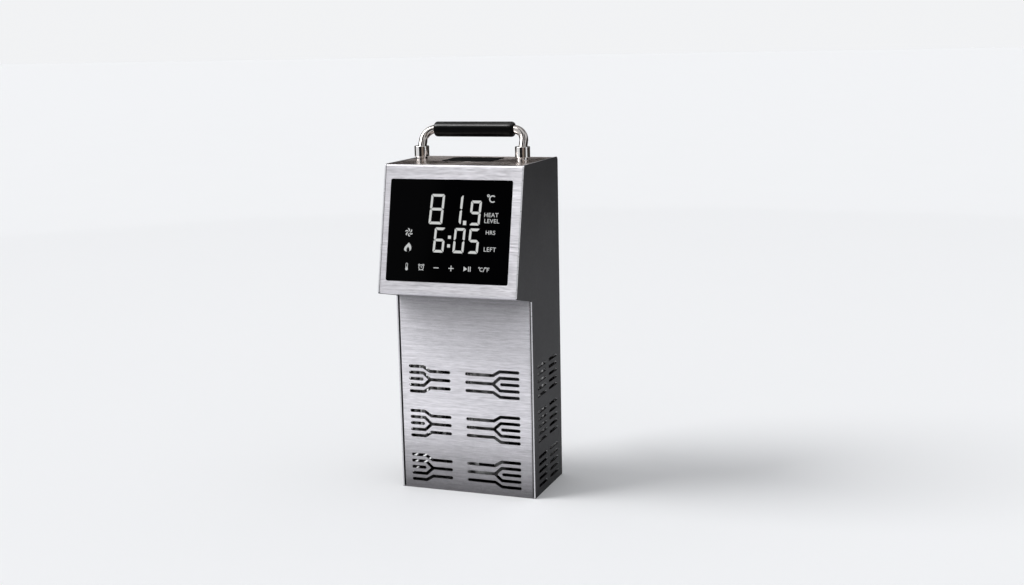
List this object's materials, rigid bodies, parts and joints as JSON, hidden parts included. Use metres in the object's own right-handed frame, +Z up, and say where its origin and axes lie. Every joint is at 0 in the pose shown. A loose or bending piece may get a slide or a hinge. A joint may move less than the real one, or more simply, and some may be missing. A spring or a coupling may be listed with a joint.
{
  "type": "sous vide circulator",
  "caption": "Steel immersion circulator with a leaning touch display head, carry handle, slotted heater and pump body, and a screw clamp for a vessel wall.",
  "frame": {"origin": "centre of the base plate's underside, midway between the side plates and between the lower body's front and back", "axes": "+Z up, -Y out of the display side, +X to the right as seen from the front"},
  "size_m": [0.16, 0.224, 0.4118],
  "materials": {
    "brushed_steel": "brushed along the width",
    "dark_steel": "dark satin",
    "plain_steel": "plain satin",
    "chrome": "polished",
    "grip": "satin with fine grain",
    "black_glass": "glossy, black backed",
    "black_plastic": "moulded",
    "board": "lacquered board",
    "rubber": "matt",
    "brass": "turned",
    "aluminium": "extruded",
    "motor_paint": "satin enamel"
  },
  "bodies": {
    "case": {"base_plate": "brushed_steel", "board_spacers": "brass", "bulkhead": "plain_steel", "capacitor": "aluminium", "clamp_bracket": "plain_steel", "clamp_bracket_nuts": "plain_steel", "clamp_bracket_screws": "plain_steel", "cord_gland": "black_plastic", "display_board": "board", "display_frame": "black_plastic", "display_gasket": "rubber", "display_glass": "black_glass", "display_studs": "plain_steel", "element_nuts": "brass", "fan_frame": "black_plastic", "fan_screws": "plain_steel", "front_panel": "brushed_steel", "gland_lock_nut": "black_plastic", "handle_ferrule_left": "chrome", "handle_ferrule_right": "chrome", "handle_grip": "grip", "handle_rod": "chrome", "handle_screws": "plain_steel", "head_wrap": "brushed_steel", "heat_sink": "aluminium", "heating_element_left": "plain_steel", "heating_element_right": "plain_steel", "level_probes": "plain_steel", "lower_bush": "brass", "motor_plate": "plain_steel", "motor_posts": "plain_steel", "power_board": "board", "power_module": "black_plastic", "probe_nuts": "brass", "pump_cage": "plain_steel", "pump_motor": "motor_paint", "rear_cover": "brushed_steel", "rear_cover_screws": "plain_steel", "rear_rail_left": "plain_steel", "rear_rail_right": "plain_steel", "shaft_column": "plain_steel", "shaft_seal": "rubber", "side_plate_left": "dark_steel", "side_plate_right": "dark_steel", "switch_body": "black_plastic", "temperature_probe": "plain_steel", "terminal_block": "black_plastic", "transformer": "motor_paint"},
    "pump_rotor": {"drive_shaft": "plain_steel", "impeller": "black_plastic", "impeller_nut": "plain_steel"},
    "cooling_rotor": {"fan_rotor": "black_plastic"},
    "clamp_jaw": {"clamp_pad": "rubber"},
    "clamp_spindle": {"clamp_screw": "plain_steel", "clamp_knob": "black_plastic"},
    "rocker": {"switch_rocker": "black_plastic"}
  },
  "joints": [
    {"name": "pump_spin", "type": "hinge", "parent": "case", "child": "pump_rotor", "pos_m": [0, 0, 0.042], "axis": [0, 0, 1], "continuous": true},
    {"name": "fan_spin", "type": "hinge", "parent": "case", "child": "cooling_rotor", "pos_m": [0, 0.04, 0.32], "axis": [0, 1, 0], "continuous": true},
    {"name": "clamp_slide", "type": "slide", "parent": "case", "child": "clamp_jaw", "axis": [0, -1, 0], "range_m": [0, 0.018]},
    {"name": "clamp_turn", "type": "hinge", "parent": "clamp_jaw", "child": "clamp_spindle", "pos_m": [0, 0.112, 0.192], "axis": [0, -1, 0], "range_deg": [0, 4320]},
    {"name": "rocker_tip", "type": "hinge", "parent": "case", "child": "rocker", "pos_m": [-0.048, 0.043, 0.252], "axis": [1, 0, 0], "range_deg": [-18, 0]}
  ],
  "couplings": [
    {"joint": "clamp_slide", "follows": "clamp_turn", "m_per_rad": 0.00023873}
  ]
}
